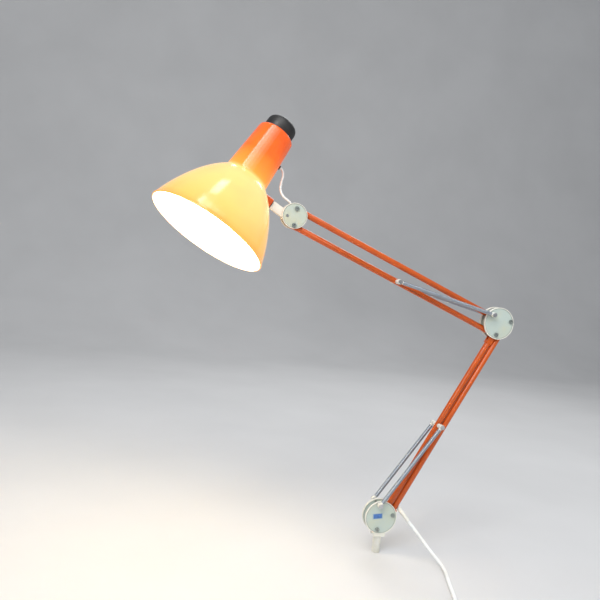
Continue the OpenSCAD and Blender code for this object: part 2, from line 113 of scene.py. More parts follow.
def make_camera():
    data = bpy.data.cameras.new("camera")
    data.sensor_width = 36.0
    data.lens = CAMERA_LENS
    data.clip_start = 0.01
    camera = bpy.data.objects.new("camera", data)
    bpy.context.scene.collection.objects.link(camera)
    az, el = math.radians(CAMERA_AZIMUTH), math.radians(CAMERA_ELEVATION)
    back = Vector((math.sin(az) * math.cos(el), -math.cos(az) * math.cos(el), math.sin(el)))
    camera.location = CAMERA_AT
    camera.rotation_mode = "QUATERNION"
    roll = Quaternion((0, 0, 1), math.radians(CAMERA_ROLL))
    camera.rotation_quaternion = (-back).to_track_quat("-Z", "Y") @ roll
    bpy.context.scene.camera = camera


make_camera()

# ---------- mesh helpers ----------


def add_mesh(name, verts, faces):
    mesh = bpy.data.meshes.new(name)
    mesh.from_pydata([tuple(v) for v in verts], [], faces)
    mesh.validate()
    work = bmesh.new()
    work.from_mesh(mesh)
    bmesh.ops.recalc_face_normals(work, faces=work.faces)
    work.to_mesh(mesh)
    work.free()
    for polygon in mesh.polygons:
        polygon.use_smooth = True
    obj = bpy.data.objects.new(name, mesh)
    bpy.context.scene.collection.objects.link(obj)
    return obj


def circle_section(radius, sides):
    angles = [2 * math.pi * k / sides for k in range(sides)]
    return [(radius * math.cos(a), radius * math.sin(a)) for a in angles]


def smooth_path(points, steps):
    """Catmull-Rom curve through the points, with that many steps between neighbours."""
    ends = [2 * points[0] - points[1], *points, 2 * points[-1] - points[-2]]
    curve = []
    for i in range(1, len(ends) - 2):
        p, q, r, s = ends[i - 1], ends[i], ends[i + 1], ends[i + 2]
        for k in range(steps):
            t = k / steps
            square, cube = 2 * p - 5 * q + 4 * r - s, 3 * q - p - 3 * r + s
            curve.append(0.5 * (2 * q + (r - p) * t + square * t**2 + cube * t**3))
    curve.append(points[-1].copy())
    return curve


def sweep_rings(path, section, up=Vector((0, 0, 1))):
    """Rings of a section whose first axis lies level, swept along a path."""
    rings = []
    last = len(path) - 1
    for i, p in enumerate(path):
        along = (path[min(i + 1, last)] - path[max(i - 1, 0)]).normalized()
        level = along.cross(up).normalized()
        high = level.cross(along)
        rings.append([p + x * level + y * high for x, y in section])
    return rings


def skin(rings):
    """Quads between neighbouring rings, with a face over each end."""
    n = len(rings[0])
    verts = [v for ring in rings for v in ring]
    faces = [
        (i * n + k, i * n + (k + 1) % n, (i + 1) * n + (k + 1) % n, (i + 1) * n + k)
        for i in range(len(rings) - 1)
        for k in range(n)
    ]
    faces.append(tuple(range(n)))
    faces.append(tuple((len(rings) - 1) * n + k for k in reversed(range(n))))
    return verts, faces


def tube(name, path, section):
    return add_mesh(name, *skin(sweep_rings(path, section)))


def frame_along(start, end):
    """Frame at start whose Z runs to end."""
    turn = (end - start).to_track_quat("Z", "Y").to_matrix().to_4x4()
    return Matrix.Translation(start) @ turn


def lathe(name, profile, place, sides=64):
    """Closed profile of (radius, height) turned about Z, then put in place. A radius of 0 is a pole."""
    verts, rows = [], []
    for r, z in profile:
        if r <= 0:
            rows.append([len(verts)] * sides)
            verts.append(place @ Vector((0, 0, z)))
        else:
            rows.append(list(range(len(verts), len(verts) + sides)))
            verts += [place @ Vector((r * x, r * y, z)) for x, y in circle_section(1, sides)]
    faces = []
    count = len(rows) if profile[0][0] > 0 else len(rows) - 1
    for i in range(count):
        low, high = rows[i], rows[(i + 1) % len(rows)]
        for k in range(sides):
            n = (k + 1) % sides
            face = []
            for v in (low[k], low[n], high[n], high[k]):
                if v not in face:
                    face.append(v)
            faces.append(tuple(face))
    return add_mesh(name, verts, faces)


def sharpen(obj, degrees=35):
    """Keeps the edges over that angle crisp."""
    obj.data.set_sharp_from_angle(angle=math.radians(degrees))


def paint(obj, *materials):
    obj.data.materials.clear()
    for material in materials:
        obj.data.materials.append(material)
    return obj


# ---------- mains cord ----------

CORD_D = 5.4 * MM
CORD_THICK = 4.6 * MM
CORD_GROOVE = 0.5 * MM
COIL_AT = Vector((6, -218, 0)) * MM
COIL_MEAN_R = 32 * MM
COIL_ACROSS = 4
COIL_STEPS = 30
STEP_OVER = 0.25
CORD_ROUTE = [
    (44, -12, 52), (50, -18, 45), (56, -25, 37.5), (62, -31.5, 30), (67.5, -38.5, 22.8), (73.5, -45.5, 15.8),
    (78.5, -52.5, 10), (81.5, -60.5, 5.6), (81.5, -70.5, 3.4), (79, -81, 2.8), (75.5, -92.5, 2.7),
    (71.5, -105.5, 2.7), (67.5, -119, 2.7), (63.5, -133, 2.7), (59.5, -147, 2.7), (55, -161, 2.7),
    (51, -175, 2.7), (48, -189, 2.7), (46, -204, 2.7),
]
TAIL_ROUTE = [
    (45, -231, 8), (40, -244, 7.8), (31, -255, 7.4), (19, -261, 7), (6, -263, 6.7), (-8, -263, 6.5),
    (-22, -263, 6.5),
]


def metres(points):
    return [Vector(p) * MM for p in points]


def ease(t):
    t = max(0.0, min(1.0, t))
    return t * t * (3 - 2 * t)


def coil_point(turn):
    """Point of the coil after so many turns: in along the surface, up at the middle, and out again on top."""
    outer = COIL_MEAN_R + (COIL_ACROSS - 1) / 2 * CORD_D
    inner = outer - (COIL_ACROSS - 1) * CORD_D
    whole, part = int(turn), turn - int(turn)
    climb = COIL_ACROSS - 1 + STEP_OVER
    radius = outer - CORD_D * (whole + ease((part - 1 + STEP_OVER) / STEP_OVER))
    height = CORD_D / 2
    if turn >= COIL_ACROSS - 1:
        radius = inner
        height += CORD_D * ease((turn - climb) / STEP_OVER)
    if turn >= COIL_ACROSS:
        radius = inner + CORD_D * (whole - COIL_ACROSS + ease(part / STEP_OVER))
    angle = -2 * math.pi * turn
    return COIL_AT + Vector((radius * math.cos(angle), radius * math.sin(angle), height))


def cord_path():
    turns = 2 * COIL_ACROSS - 1
    run = metres(CORD_ROUTE)
    coil = [coil_point(k / COIL_STEPS) for k in range(turns * COIL_STEPS + 1)]
    ends = metres(TAIL_ROUTE)
    lead = smooth_path([*run, coil[0]], 3)[:-1]
    tail = smooth_path([coil[-1], *ends], 3)[1:]
    return lead + coil + tail


def twin_section(width, height, groove):
    """Two cores side by side in one sheath, with a shallow groove between them above and below."""
    points = []
    sides = 28
    for k in range(sides):
        a = 2 * math.pi * (k + 0.5) / sides
        dip = groove * math.exp(-((math.cos(a) / 0.2) ** 2))
        points.append((width / 2 * math.cos(a), (height / 2 - dip) * math.sin(a)))
    return points


def make_cord(material):
    """Cord tube along the run, the coil and the tail; it stays where it lies at rest and does not follow the
    link.
    """
    path = cord_path()
    cord = tube("mains_cord", path, twin_section(CORD_D, CORD_THICK, CORD_GROOVE))
    paint(cord, material)
    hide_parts("mains_cord_run", "mains_cord_coil", "mains_cord_tail")
    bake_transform(cord)


# ---------- materials ----------


class Shader:
    """A material with one Principled node, and short calls that add nodes to it."""

    def __init__(self, name, color, roughness, metallic=0.0, coat=0.0):
        self.material = bpy.data.materials.new(name)
        self.material.use_nodes = True
        self.tree = self.material.node_tree
        self.main = self.tree.nodes["Principled BSDF"]
        self.set("Base Color", (*color, 1))
        self.set("Roughness", roughness)
        self.set("Metallic", metallic)
        self.set("Coat Weight", coat)
        self.set("Coat Roughness", 0.12)
        self.place = self.tree.nodes.new("ShaderNodeTexCoord").outputs["Object"]

    def set(self, socket, value):
        self.main.inputs[socket].default_value = value

    def link(self, source, node, socket):
        self.tree.links.new(source, node.inputs[socket])

    def stretched(self, angle, along, across):
        """Object coordinates in mm, turned in the XZ plane and scaled along and across that angle."""
        turn = self.tree.nodes.new("ShaderNodeMapping")
        turn.inputs["Rotation"].default_value = (0, angle, 0)
        self.link(self.place, turn, "Vector")
        scale = self.tree.nodes.new("ShaderNodeMapping")
        scale.inputs["Scale"].default_value = (along, across, across)
        self.link(turn.outputs["Vector"], scale, "Vector")
        return scale.outputs["Vector"]

    def noise(self, scale, detail=3.0, vector=None):
        node = self.tree.nodes.new("ShaderNodeTexNoise")
        node.inputs["Scale"].default_value = scale
        node.inputs["Detail"].default_value = detail
        node.inputs["Roughness"].default_value = 0.5
        self.link(vector or self.place, node, "Vector")
        return node.outputs["Fac"]

    def ramp(self, source, *stops):
        """Maps a value to numbers or colours at the stops."""
        node = self.tree.nodes.new("ShaderNodeValToRGB")
        elements = node.color_ramp.elements
        while len(elements) < len(stops):
            elements.new(0.5)
        for element, (at, value) in zip(elements, stops):
            element.position = at
            element.color = (*value, 1) if isinstance(value, tuple) else (value, value, value, 1)
        self.link(source, node, "Fac")
        return node.outputs["Color"]

    def math(self, operation, a, b):
        node = self.tree.nodes.new("ShaderNodeMath")
        node.operation = operation
        for socket, value in ((0, a), (1, b)):
            if isinstance(value, (int, float)):
                node.inputs[socket].default_value = value
            else:
                self.link(value, node, socket)
        return node.outputs[0]

    def mix(self, factor, a, b):
        node = self.tree.nodes.new("ShaderNodeMix")
        node.data_type = "RGBA"
        for socket, value in (("Factor", factor), ("A", a), ("B", b)):
            target = next(s for s in node.inputs if s.name == socket and s.enabled)
            if isinstance(value, tuple):
                target.default_value = (*value, 1)
            elif isinstance(value, float):
                target.default_value = value
            else:
                self.tree.links.new(value, target)
        return next(s for s in node.outputs if s.enabled)

    def bump(self, height, strength, distance):
        node = self.tree.nodes.new("ShaderNodeBump")
        node.inputs["Strength"].default_value = strength
        node.inputs["Distance"].default_value = distance
        self.link(height, node, "Height")
        self.link(node.outputs["Normal"], self.main, "Normal")

    def along(self, origin, axis):
        """Distance of a point from origin, measured along an axis."""
        minus = self.tree.nodes.new("ShaderNodeVectorMath")
        minus.operation = "SUBTRACT"
        minus.inputs[1].default_value = origin
        self.link(self.place, minus, 0)
        dot = self.tree.nodes.new("ShaderNodeVectorMath")
        dot.operation = "DOT_PRODUCT"
        dot.inputs[1].default_value = axis
        self.link(minus.outputs["Vector"], dot, 0)
        return dot.outputs["Value"]

    def from_axis(self, centre, scale):
        """Distance in the XZ plane from a centre, in units of scale."""
        sides = []
        for axis in ((1, 0, 0), (0, 0, 1)):
            offset = self.math("DIVIDE", self.along(centre, axis), scale)
            sides.append(self.math("MULTIPLY", offset, offset))
        return self.math("SQRT", self.math("ADD", *sides), 0.0)


def moulded_plastic(name, color, stain, roughness, grain=1400.0):
    """Satin moulding: a fine grain, faint cloudiness and stains, and uneven gloss from handling."""
    s = Shader(name, color, roughness)
    cloud = s.noise(45.0, 4.0)
    tone = s.mix(s.ramp(cloud, (0.4, 0.0), (0.72, 1.0)), color, stain)
    s.link(tone, s.main, "Base Color")
    gloss = s.ramp(s.noise(160.0, 3.0), (0.3, roughness - 0.08), (0.7, roughness + 0.1))
    s.link(gloss, s.main, "Roughness")
    s.bump(s.noise(grain, 2.0), 0.25, 0.00005)
    return s.material


def disc_plastic(name, node):
    """Pale grey-green moulding with a faint yellow cast, a painted highlight round the rim and a painted
    shaded line inside the rim.
    """
    low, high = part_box(node)
    centre = Vector(((low.x + high.x) / 2, 0, high.z - (high.x - low.x) / 2))
    pale, yellowed = (0.5, 0.58, 0.53), (0.56, 0.58, 0.43)
    # painted highlight: a pale colour on the rim where light catches the edge; painted shade: a dark line
    # just inside it
    rim_highlight, line = (0.76, 0.75, 0.66), (0.28, 0.31, 0.28)
    s = Shader(name, pale, 0.38, coat=0.15)
    cast = s.mix(s.ramp(s.noise(42.0, 3.0), (0.45, 0.0), (0.75, 0.8)), pale, yellowed)
    reach = s.from_axis(centre, (high.x - low.x) / 2)
    # painted shade ring inside the rim, then the painted highlight on the rim itself
    groove_shaded = s.mix(s.ramp(reach, (0.9, 0.0), (0.925, 0.75), (0.95, 0.75), (0.955, 0.0)), cast, line)
    s.link(s.mix(s.ramp(reach, (0.95, 0.0), (0.958, 1.0)), groove_shaded, rim_highlight), s.main, "Base Color")
    s.link(s.ramp(s.noise(160.0, 3.0), (0.3, 0.3), (0.7, 0.5)), s.main, "Roughness")
    s.bump(s.noise(1400.0, 2.0), 0.25, 0.00005)
    return s.material


def lacquer(name, color, worn, angle):
    """Gloss lacquer on drawn tube: fine lines along the tube, small chips and an even clear top."""
    s = Shader(name, color, 0.36, coat=0.2)
    lines = s.noise(60.0, 5.0, s.stretched(angle, 1.0, 26.0))
    blotch = s.noise(70.0, 3.0)
    shade = s.mix(s.ramp(lines, (0.35, 0.0), (0.75, 1.0)), color, worn)
    deeper = s.mix(s.ramp(blotch, (0.45, 0.0), (0.8, 0.5)), shade, tuple(c * 0.6 for c in color))
    s.link(deeper, s.main, "Base Color")
    s.link(s.ramp(lines, (0.3, 0.24), (0.7, 0.4)), s.main, "Roughness")
    s.bump(s.noise(420.0, 3.0), 0.2, 0.00004)
    return s.material


def bright_steel(name, color, roughness, angle=0.0, stretch=1.0, tarnished=0.55):
    """Turned or drawn steel with fine tool lines and faint tarnish."""
    s = Shader(name, color, roughness, metallic=1.0)
    lines = s.noise(500.0, 4.0, s.stretched(angle, 1.0, stretch))
    tarnish = s.noise(90.0, 4.0)
    tone = s.mix(s.ramp(tarnish, (0.45, 0.0), (0.8, 1.0)), color, tuple(c * tarnished for c in color))
    s.link(tone, s.main, "Base Color")
    s.link(s.ramp(lines, (0.3, roughness - 0.08), (0.7, roughness + 0.12)), s.main, "Roughness")
    s.bump(lines, 0.15, 0.00003)
    return s.material


def soft_pvc(name, color, grime):
    """Flexible cord sheath: matt, slightly dimpled, with handling marks."""
    s = Shader(name, color, 0.5)
    marks = s.noise(30.0, 5.0)
    s.link(s.mix(s.ramp(marks, (0.5, 0.0), (0.8, 1.0)), color, grime), s.main, "Base Color")
    s.link(s.ramp(s.noise(220.0), (0.3, 0.42), (0.7, 0.6)), s.main, "Roughness")
    s.bump(s.noise(900.0, 2.0), 0.2, 0.00005)
    return s.material


def lit_plastic():
    """Outer face of the shade: gloss orange plastic with a painted glow that fades up the neck, and painted
    shade towards its far side.
    """
    orange = (0.84, 0.12, 0.006)
    deep = (0.68, 0.06, 0.003)
    s = Shader("shade_orange", orange, 0.16, coat=0.6)
    cloud = s.noise(28.0, 3.0)
    s.link(s.mix(s.ramp(cloud, (0.4, 0.0), (0.75, 1.0)), orange, deep), s.main, "Base Color")
    height = s.math("DIVIDE", s.along(SHADE_AT, SHADE_UP), NECK_TOP)
    drift = s.math("MULTIPLY", s.noise(16.0, 2.0), 0.05)
    level = s.math("ADD", height, s.math("SUBTRACT", drift, 0.025))
    glow = s.ramp(
        level,
        (0.0, (0.95, 0.52, 0.1)),
        (0.06, (1.0, 0.72, 0.2)),
        (0.2, (1.0, 0.84, 0.29)),
        (0.42, (1.0, 0.92, 0.36)),
        (0.53, (1.0, 0.92, 0.34)),
        (0.57, (0.95, 0.4, 0.05)),
        (0.75, (0.5, 0.09, 0.002)),
        (1.0, (0.24, 0.02, 0.0)),
    )
    # painted shade: the painted glow turns a deeper orange towards the side away from the head
    away = s.math("DIVIDE", s.along(SHADE_AT, -STEM), RIM_R)
    far_shaded_glow = s.mix(s.ramp(away, (0.25, 0.0), (0.95, 0.4)), glow, (0.9, 0.36, 0.04))
    s.link(far_shaded_glow, s.main, "Emission Color")
    s.set("Emission Strength", 0.85)
    s.link(s.ramp(s.noise(120.0, 3.0), (0.3, 0.12), (0.7, 0.24)), s.main, "Roughness")
    s.bump(s.noise(60.0, 2.0), 0.06, 0.0002)
    return s.material


def shade_lining():
    """Inner face of the shade: white, lit by the bulb, with a painted glow of the bulb's light on top."""
    s = Shader("shade_white", (0.9, 0.86, 0.78), 0.35)
    s.link(
        s.mix(s.ramp(s.noise(50.0), (0.4, 0.0), (0.8, 1.0)), (0.9, 0.86, 0.78), (0.84, 0.76, 0.62)),
        s.main,
        "Base Color",
    )
    # painted light: an even warm glow on the lining, standing in for the bulb's light on it
    s.set("Emission Color", (1.0, 0.86, 0.6, 1))
    s.set("Emission Strength", 0.5)
    s.bump(s.noise(300.0), 0.1, 0.0001)
    return s.material


def lit_bulb():
    """Frosted bulb, lit from within: brightest at the middle of the globe and dimmer at its neck."""
    s = Shader("bulb_frost", (0.95, 0.93, 0.88), 0.5)
    height = s.math("DIVIDE", s.along(SHADE_AT, SHADE_UP), BULB_LENGTH)
    s.link(
        s.ramp(height, (0.1, (1.0, 0.9, 0.68)), (0.6, (1.0, 0.84, 0.55)), (0.95, (0.7, 0.42, 0.2))),
        s.main,
        "Emission Color",
    )
    s.set("Emission Strength", 14.0)
    s.bump(s.noise(900.0), 0.1, 0.00005)
    return s.material


def printed_label():
    """Plain blue sticker with a paler edge, slightly faded."""
    blue = (0.05, 0.14, 0.38)
    pale = (0.3, 0.42, 0.52)
    s = Shader("label_blue", blue, 0.4, coat=0.2)
    at = middle("base_label")
    across = s.math("ABSOLUTE", s.along(at, Vector((1, 0, 0.1)).normalized()), 0.0)
    upward = s.math("ABSOLUTE", s.along(at, Vector((-0.1, 0, 1)).normalized()), 0.0)
    edge = s.math("MAXIMUM", s.math("DIVIDE", across, 8.0 * MM), s.math("DIVIDE", upward, 4.2 * MM))
    faded = s.mix(s.ramp(s.noise(260.0, 4.0), (0.4, 0.0), (0.75, 1.0)), blue, tuple(c * 1.5 for c in blue))
    s.link(s.mix(s.ramp(edge, (0.8, 0.0), (0.84, 1.0)), faded, pale), s.main, "Base Color")
    s.link(s.ramp(s.noise(120.0), (0.3, 0.3), (0.7, 0.5)), s.main, "Roughness")
    s.bump(s.noise(500.0), 0.15, 0.00004)
    return s.material


LOWER_ANGLE = math.atan2(*(pivot("upper_arm") - pivot("lower_arm")).zx)
UPPER_ANGLE = math.atan2(*(pivot("head_level") - pivot("upper_arm")).zx)

BASE_DISC = disc_plastic("base_disc_plastic", "base_disc_front")
ELBOW_DISC = disc_plastic("elbow_disc_plastic", "elbow_disc_front")
HEAD_DISC = disc_plastic("head_disc_plastic", "head_disc_front")
POST = moulded_plastic("post_plastic", (0.74, 0.74, 0.68), (0.6, 0.58, 0.48), 0.4)
WHITE = moulded_plastic("white_plastic", (0.8, 0.8, 0.75), (0.7, 0.68, 0.58), 0.4)
BLACK = moulded_plastic("black_plastic", (0.012, 0.012, 0.013), (0.03, 0.028, 0.026), 0.45)
LOWER_LACQUER = lacquer("lacquer_lower", (0.56, 0.08, 0.001), (0.6, 0.1, 0.002), LOWER_ANGLE)
UPPER_LACQUER = lacquer("lacquer_upper", (0.56, 0.08, 0.001), (0.6, 0.1, 0.002), UPPER_ANGLE)
STEEL = bright_steel("turned_steel", (0.6, 0.61, 0.62), 0.3, 0.0, 3.0)
DARK_STEEL = bright_steel("blackened_steel", (0.4, 0.44, 0.42), 0.36)
SPRING_STEEL = bright_steel("spring_steel", (0.38, 0.42, 0.47), 0.38, tarnished=0.88)
BRASS = bright_steel("plug_brass", (0.75, 0.66, 0.45), 0.25)
ALUMINIUM = bright_steel("cap_aluminium", (0.78, 0.76, 0.7), 0.35, 0.0, 6.0)
PVC = soft_pvc("cord_white", (0.84, 0.85, 0.84), (0.68, 0.67, 0.63))
BOSS = moulded_plastic("boss_orange", (0.66, 0.1, 0.006), (0.56, 0.07, 0.004), 0.3)
SHADE_OUT = lit_plastic()
SHADE_IN = shade_lining()
BULB = lit_bulb()
LABEL = printed_label()

CAD_LOOKS = {
    "base_post": POST, "base_disc_front": BASE_DISC, "base_disc_back": BASE_DISC,
    "elbow_disc_front": ELBOW_DISC, "elbow_disc_back": ELBOW_DISC,
    "head_disc_front": HEAD_DISC, "head_disc_back": HEAD_DISC,
    "base_label": LABEL,
    "lower_arm_tube": LOWER_LACQUER, "lower_link_tube": LOWER_LACQUER,
    "upper_arm_tube": UPPER_LACQUER, "upper_link_tube": UPPER_LACQUER,
    "lower_arm_ends": LOWER_LACQUER, "lower_link_ends": LOWER_LACQUER,
    "upper_arm_ends": UPPER_LACQUER, "upper_link_ends": UPPER_LACQUER,
    "tilt_washers": BLACK, "swivel_washer": BLACK, "lampholder": BLACK, "end_cap": BLACK,
    "switch_button": BLACK,
    "base_bushes": STEEL, "base_nuts": STEEL, "base_spring_studs": STEEL, "lower_spring_pin": STEEL,
    "elbow_bushes": STEEL, "elbow_nuts": STEEL, "elbow_link_pin": STEEL, "elbow_spring_studs": STEEL,
    "upper_spring_pin": STEEL, "head_bushes": STEEL, "head_nuts": STEEL, "tilt_bolt": STEEL,
    "swivel_bolt": STEEL,
    "base_screws": DARK_STEEL, "elbow_screws": DARK_STEEL, "head_screws": DARK_STEEL,
    "lower_spring_sleeves": WHITE, "upper_spring_sleeves": WHITE, "lower_spring_low_eyes": WHITE,
    "lower_spring_top_eyes": WHITE, "upper_spring_low_eyes": WHITE, "upper_spring_top_eyes": WHITE,
    "head_bracket": WHITE, "switch_body": WHITE,
    "bulb_glass": BULB, "bulb_cap": ALUMINIUM, "mains_plug_pins": BRASS,
    "lower_wire": PVC, "upper_wire": PVC,
}
BEVEL_WIDTH = 0.3 * MM
NO_BEVEL = {"bulb_glass", "base_label", "lower_wire", "upper_wire"}


def dress(node, material):
    """Gives a CAD node its material and small rounds on its hard edges."""
    obj = paint(nodes[node], material)
    weld = obj.modifiers.new("weld", "WELD")
    weld.merge_threshold = 1e-6
    if node not in NO_BEVEL:
        bevel = obj.modifiers.new("bevel", "BEVEL")
        bevel.width = BEVEL_WIDTH
        bevel.segments = 2
        bevel.limit_method = "ANGLE"
        bevel.angle_limit = math.radians(40)
        bevel.harden_normals = True


# ---------- springs ----------

SPRING_D = 6.0 * MM
SPRING_PITCH = 0.6 * MM
SPRING_SECTION = (0.2 * MM, 0.5 * MM)
SPRING_Y = 15.0 * MM
COIL_INSET = 5.5 * MM
SPRING_STEPS = 14


def spring(name, low, high, side):
    """Close-wound extension spring between two pins, on one side of the arm."""
    shift = Vector((0, side * SPRING_Y, 0))
    place = frame_along(low + shift, high + shift)
    length = (high - low).length - 2 * COIL_INSET
    half_out, half_along = SPRING_SECTION
    mean_r = SPRING_D / 2 - half_out
    rings = []
    for k in range(int(length / SPRING_PITCH * SPRING_STEPS) + 1):
        a = 2 * math.pi * k / SPRING_STEPS
        z = COIL_INSET + SPRING_PITCH * k / SPRING_STEPS
        out = Vector((math.cos(a), math.sin(a), 0))
        centre = mean_r * out + Vector((0, 0, z))
        ring = []
        for x, y in circle_section(1, 6):
            ring.append(place @ (centre + half_out * x * out + Vector((0, 0, half_along * y))))
        rings.append(ring)
    obj = add_mesh(name, *skin(rings))
    paint(obj, SPRING_STEEL)
    return obj


def make_springs():
    low, high = pivot("lower_spring_swing"), middle("lower_spring_pin")
    for side, word in ((-1, "front"), (1, "back")):
        obj = spring("lower_spring_" + word, low, high, side)
        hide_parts("lower_spring_coils")
        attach(obj, "lower_spring")
    low, high = pivot("upper_spring_swing"), middle("upper_spring_pin")
    for side, word in ((-1, "front"), (1, "back")):
        obj = spring("upper_spring_" + word, low, high, side)
        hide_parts("upper_spring_coils")
        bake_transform(obj)


# ---------- head wire ----------

WIRE_D = 3.3 * MM
WIRE_SHADE_ROUTE = [
    (-205.4, 9.8, 564.5), (-202, 9.6, 562.2), (-199.7, 9, 557.8), (-199.3, 8, 552), (-200.5, 7, 546),
    (-201.8, 5.5, 539.5), (-202, 4, 533),
]
WIRE_ARM_ROUTE = [
    (-202, 4, 533), (-200, 3, 527), (-196, 2, 521.8), (-191.3, 1, 518.5), (-187.2, 0.5, 515.5),
    (-184.8, 0, 511.5), (-185.3, 0, 507.5),
]


def make_head_wire():
    up = Vector((0, 1, 0))
    whole = metres(WIRE_SHADE_ROUTE + WIRE_ARM_ROUTE[1:])
    steps = 5
    path = smooth_path(whole, steps)
    cut = (len(WIRE_SHADE_ROUTE) - 1) * steps
    rings = sweep_rings(path, circle_section(WIRE_D / 2, 16), up)
    upper = add_mesh("head_wire_neck", *skin(rings[: cut + 1]))
    lower = add_mesh("head_wire_loop", *skin(rings[cut:]))
    joint = path[cut]
    for obj, node, a, b, start, end in (
        (upper, "head_wire_shade", "bracket", "shade", joint, path[0]),
        (lower, "head_wire_arm", "head", "bracket", path[-1], joint),
    ):
        paint(obj, PVC)
        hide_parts(node)
        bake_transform(obj)


# ---------- strain relief and plug ----------

RELIEF_ALONG = 13 * MM
RELIEF_OFF = -7.7 * MM
RELIEF_R = 3.6 * MM
RELIEF_TIP_R = 2.9 * MM
RELIEF_GAP = 0.3 * MM


def make_relief():
    """Ribbed cone on a ball, where the cord leaves the link tube."""
    exit_at = metres(CORD_ROUTE)[0]
    c, s = math.cos(LOWER_ANGLE), math.sin(LOWER_ANGLE)
    offset = Vector((c * RELIEF_ALONG - s * RELIEF_OFF, 0, s * RELIEF_ALONG + c * RELIEF_OFF))
    ball = pivot("lower_link") + offset
    length = (exit_at - ball).length - RELIEF_GAP
    ribs = 8
    first = 3 * MM
    pitch = (length - first - 1 * MM) / ribs
    groove = 0.35 * MM
    profile = [(0, -RELIEF_R)]
    profile += [(RELIEF_R * math.cos(a), RELIEF_R * math.sin(a)) for a in (-1.2, -0.9, -0.6, -0.3, 0.0)]
    for k in range(ribs):
        z = first + pitch * k
        r = RELIEF_R + (RELIEF_TIP_R - RELIEF_R) * z / length
        profile += [(r, z), (r, z + 0.55 * pitch)]
        profile += [(r - groove, z + 0.65 * pitch), (r - groove, z + 0.9 * pitch)]
    profile += [(RELIEF_TIP_R, length - 0.8 * MM), (RELIEF_TIP_R - 0.1 * MM, length), (0, length)]
    obj = lathe("strain_relief", profile, frame_along(ball, exit_at), 32)
    sharpen(obj, 50)
    paint(obj, WHITE)
    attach(obj, "lower_link")
    return obj


def plug_section(width, height, power):
    """Superellipse of that width and height."""
    points = []
    sides = 48
    for k in range(sides):
        a = 2 * math.pi * k / sides
        c, s = math.cos(a), math.sin(a)
        x = math.copysign(abs(c) ** (2 / power), c) * width / 2
        y = math.copysign(abs(s) ** (2 / power), s) * height / 2
        points.append((x, y))
    return points


def make_plug():
    """Flat two-pin plug: a ribbed neck that widens to the body, with shallow grips on its faces."""
    low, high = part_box("mains_plug_body")
    centre_y, centre_z = (low.y + high.y) / 2, (low.z + high.z) / 2
    width, thick = high.y - low.y, high.z - low.z
    length = high.x - low.x
    # share of the length, share of the width, share of the thickness, power of the section
    stations = [
        (0.0, 0.22, 0.5, 2.0), (0.03, 0.26, 0.56, 2.0), (0.1, 0.26, 0.56, 2.0), (0.12, 0.22, 0.5, 2.0),
        (0.15, 0.22, 0.5, 2.0), (0.17, 0.28, 0.6, 2.1), (0.24, 0.28, 0.6, 2.1), (0.26, 0.24, 0.54, 2.1),
        (0.29, 0.24, 0.54, 2.1), (0.31, 0.32, 0.66, 2.2), (0.4, 0.44, 0.76, 2.4), (0.5, 0.7, 0.88, 2.8),
        (0.58, 0.9, 0.96, 3.4), (0.66, 0.985, 1.0, 4.2), (0.72, 1.0, 0.9, 4.6), (0.76, 1.0, 1.0, 4.6),
        (0.8, 1.0, 0.9, 4.6), (0.84, 1.0, 1.0, 4.6), (0.93, 1.0, 1.0, 4.6), (0.98, 0.97, 0.94, 4.2),
        (1.0, 0.93, 0.86, 4.0),
    ]
    rings = []
    for along, wide, high_share, power in stations:
        x = high.x - along * length
        section = plug_section(width * wide, thick * high_share, power)
        rings.append([Vector((x, centre_y + a, centre_z + b)) for a, b in section])
    obj = add_mesh("mains_plug", *skin(rings))
    smooth = obj.modifiers.new("smooth", "SUBSURF")
    smooth.levels = smooth.render_levels = 1
    paint(obj, WHITE)
    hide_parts("mains_plug_body")
    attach(obj, "base")
    return obj


# ---------- shade and bulb ----------


def dome_r(z):
    return RIM_R * (1 - (z / DOME_TOP) ** DOME_ROUND) ** DOME_BLUNT


def shade_line(inset):
    """Dome, neck and rounded shoulder, from the rim up, moved in by the inset."""
    steps = 36
    line = [(dome_r(DOME_H * k / steps) - inset, DOME_H * k / steps) for k in range(steps)]
    root = NECK_ROOT_R
    base_r = dome_r(DOME_H) - inset
    for out, up in ((1, -1), (0.3, -0.2), (-0.1, 0.8)):
        line.append((base_r + out * root, DOME_H + up * root))
    top = NECK_TOP - inset
    round_r = CORNER_R - inset
    neck = NECK_TOP_R - inset
    rows = 12
    for k in range(1, rows):
        share = k / rows
        z = DOME_H + (top - round_r - DOME_H) * share
        line.append((base_r + (neck - base_r) * share, z))
    for a in range(0, 91, 15):
        t = math.radians(a)
        line.append((neck - round_r + round_r * math.cos(t), top - round_r + round_r * math.sin(t)))
    line.append((TOP_HOLE_R, top))
    return line


def make_shade():
    outer = shade_line(0.0)
    inner = shade_line(WALL)
    bead = RIM_BEAD_R
    rim = [
        (RIM_R - 0.6 * MM + bead * math.cos(a), bead + bead * math.sin(a))
        for a in (math.radians(d) for d in range(-180, 61, 20))
    ]
    profile = list(reversed(inner[1:])) + rim + outer[2:]
    obj = lathe("shade_shell", profile, SHADE_FRAME, 160)
    paint(obj, SHADE_OUT, SHADE_IN)
    for polygon in obj.data.polygons:
        local = polygon.center - SHADE_AT
        z = local.dot(SHADE_UP)
        out = local - z * SHADE_UP
        facing = polygon.normal.dot(out.normalized()) if out.length > 0 else 0
        if z < NECK_TOP - 1 * MM and facing < 0 and z > 0.2 * MM:
            polygon.material_index = 1
        if z > NECK_TOP - 3 * MM and polygon.normal.dot(SHADE_UP) < -0.5:
            polygon.material_index = 1
    sharpen(obj, 50)
    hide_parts("shade")
    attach(obj, "shade")


